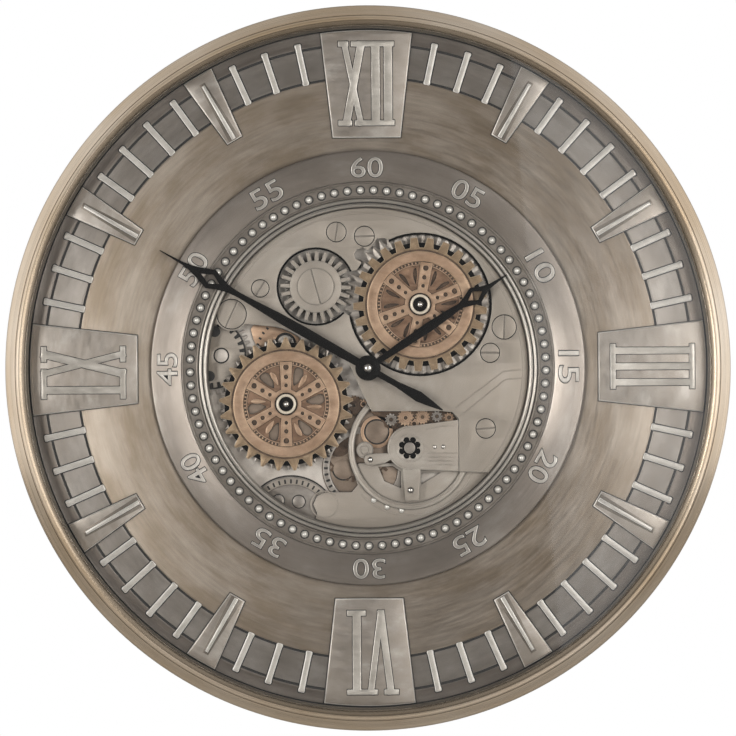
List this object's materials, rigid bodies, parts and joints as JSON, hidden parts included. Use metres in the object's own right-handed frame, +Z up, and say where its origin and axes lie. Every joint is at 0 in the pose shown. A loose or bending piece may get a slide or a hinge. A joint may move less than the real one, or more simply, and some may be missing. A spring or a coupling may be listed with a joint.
{
  "type": "gear wall clock",
  "caption": "Round wall clock with a brushed metal dial, raised Roman numerals and turning gears behind an open centre, under glass in a rounded metal case.",
  "frame": {"origin": "on the flat back of the hanger, where it lies on the wall, above the keyhole", "axes": "+Y into the wall, so that the dial looks along -Y; +Z up; +X to the right of someone who reads the dial"},
  "size_m": [0.6, 0.0797, 0.6],
  "materials": {
    "champagne_case": "satin champagne lacquer, rubbed back at the edges",
    "pewter_dial": "brushed antique pewter with a warm patina",
    "pale_steel": "brushed, lightly antiqued",
    "bright_steel": "polished",
    "bronze_wheel": "brushed bronze with darkened grooves",
    "grey_wheel": "dull grey, darkened in the grooves",
    "black_hands": "black satin",
    "brass_fittings": "turned",
    "black_plastic": "fine spark texture",
    "rubber_feet": "matt",
    "cell_sleeve": "printed sleeve, left plain",
    "lens_glass": "clear flat glass"
  },
  "bodies": {
    "case": {"balance_cock": "pale_steel", "balance_ring": "pale_steel", "battery_box": "black_plastic", "bead_ring": "bright_steel", "bezel_ring": "champagne_case", "bridge_plate": "pale_steel", "case_drum": "champagne_case", "clock_movement": "black_plastic", "dial_plate": "pewter_dial", "gear_motor": "black_plastic", "glass_lens": "lens_glass", "glass_seat_ring": "pewter_dial", "hanger": "pale_steel", "hour_baton_1": "pale_steel", "hour_baton_10": "pale_steel", "hour_baton_11": "pale_steel", "hour_baton_2": "pale_steel", "hour_baton_4": "pale_steel", "hour_baton_5": "pale_steel", "hour_baton_7": "pale_steel", "hour_baton_8": "pale_steel", "lower_plate": "pale_steel", "mechanism_pan": "grey_wheel", "minute_ring": "bright_steel", "motor_cell_1": "cell_sleeve", "motor_cell_2": "cell_sleeve", "movement_cell": "cell_sleeve", "numeral_plate_iii": "pale_steel", "numeral_plate_ix": "pale_steel", "numeral_plate_vi": "pale_steel", "numeral_plate_xii": "pale_steel", "plate_screw_1": "bright_steel", "plate_screw_2": "bright_steel", "plate_screw_3": "bright_steel", "plate_screw_4": "bright_steel", "plate_screw_5": "bright_steel", "plate_screw_6": "bright_steel", "plate_screw_7": "bright_steel", "regulator_disc": "pale_steel", "shaft_nut": "brass_fittings", "side_wheel_screw": "pale_steel", "trim_ring": "bright_steel", "wall_bumper_left": "rubber_feet", "wall_bumper_right": "rubber_feet"},
    "upper_wheel": {"upper_carrier_wheel": "grey_wheel", "upper_show_wheel": "bronze_wheel", "upper_arbor": "black_hands"},
    "lower_wheel": {"lower_carrier_wheel": "grey_wheel", "lower_show_wheel": "bronze_wheel", "lower_arbor": "black_hands"},
    "side_wheel": {"side_wheel": "pale_steel"},
    "drive_pinion": {"drive_pinion": "brass_fittings"},
    "minute_hand": {"minute_hand": "black_hands", "hand_cap": "bright_steel", "minute_shaft": "brass_fittings"},
    "hour_hand": {"hour_hand": "black_hands", "hour_tube": "brass_fittings"},
    "setting_knob": {"setting_knob": "black_plastic"},
    "battery_cover": {"battery_cover": "black_plastic"},
    "motor_switch": {"motor_switch": "black_plastic"}
  },
  "joints": [
    {"name": "upper_wheel_turn", "type": "hinge", "parent": "case", "child": "upper_wheel", "pos_m": [0.0435, -0.045, -0.2216], "axis": [0, 1, 0], "continuous": true},
    {"name": "lower_wheel_turn", "type": "hinge", "parent": "case", "child": "lower_wheel", "pos_m": [-0.068, -0.045, -0.3036], "axis": [0, 1, 0], "continuous": true},
    {"name": "side_wheel_turn", "type": "hinge", "parent": "case", "child": "side_wheel", "pos_m": [-0.04297, -0.045, -0.20635], "axis": [0, 1, 0], "continuous": true},
    {"name": "drive_pinion_turn", "type": "hinge", "parent": "case", "child": "drive_pinion", "pos_m": [-0.02821, -0.045, -0.24795], "axis": [0, 1, 0], "continuous": true},
    {"name": "minute_hand_turn", "type": "hinge", "parent": "case", "child": "minute_hand", "pos_m": [0, -0.045, -0.2741], "axis": [0, 1, 0], "continuous": true},
    {"name": "hour_hand_turn", "type": "hinge", "parent": "case", "child": "hour_hand", "pos_m": [0, -0.045, -0.2741], "axis": [0, 1, 0], "continuous": true},
    {"name": "setting_knob_turn", "type": "hinge", "parent": "case", "child": "setting_knob", "pos_m": [0.009, -0.045, -0.2811], "axis": [0, 1, 0], "continuous": true},
    {"name": "battery_cover_slide", "type": "slide", "parent": "case", "child": "battery_cover", "axis": [1, 0, 0], "range_m": [0, 0.056]},
    {"name": "motor_switch_slide", "type": "slide", "parent": "case", "child": "motor_switch", "axis": [0, 0, 1], "range_m": [0, 0.004]}
  ],
  "couplings": [
    {"joint": "lower_wheel_turn", "follows": "upper_wheel_turn", "ratio": 1.1522},
    {"joint": "side_wheel_turn", "follows": "upper_wheel_turn", "ratio": -2.2083},
    {"joint": "drive_pinion_turn", "follows": "upper_wheel_turn", "ratio": -3.7857},
    {"joint": "hour_hand_turn", "follows": "minute_hand_turn", "ratio": 0.083333},
    {"joint": "setting_knob_turn", "follows": "minute_hand_turn", "ratio": -0.33333}
  ]
}
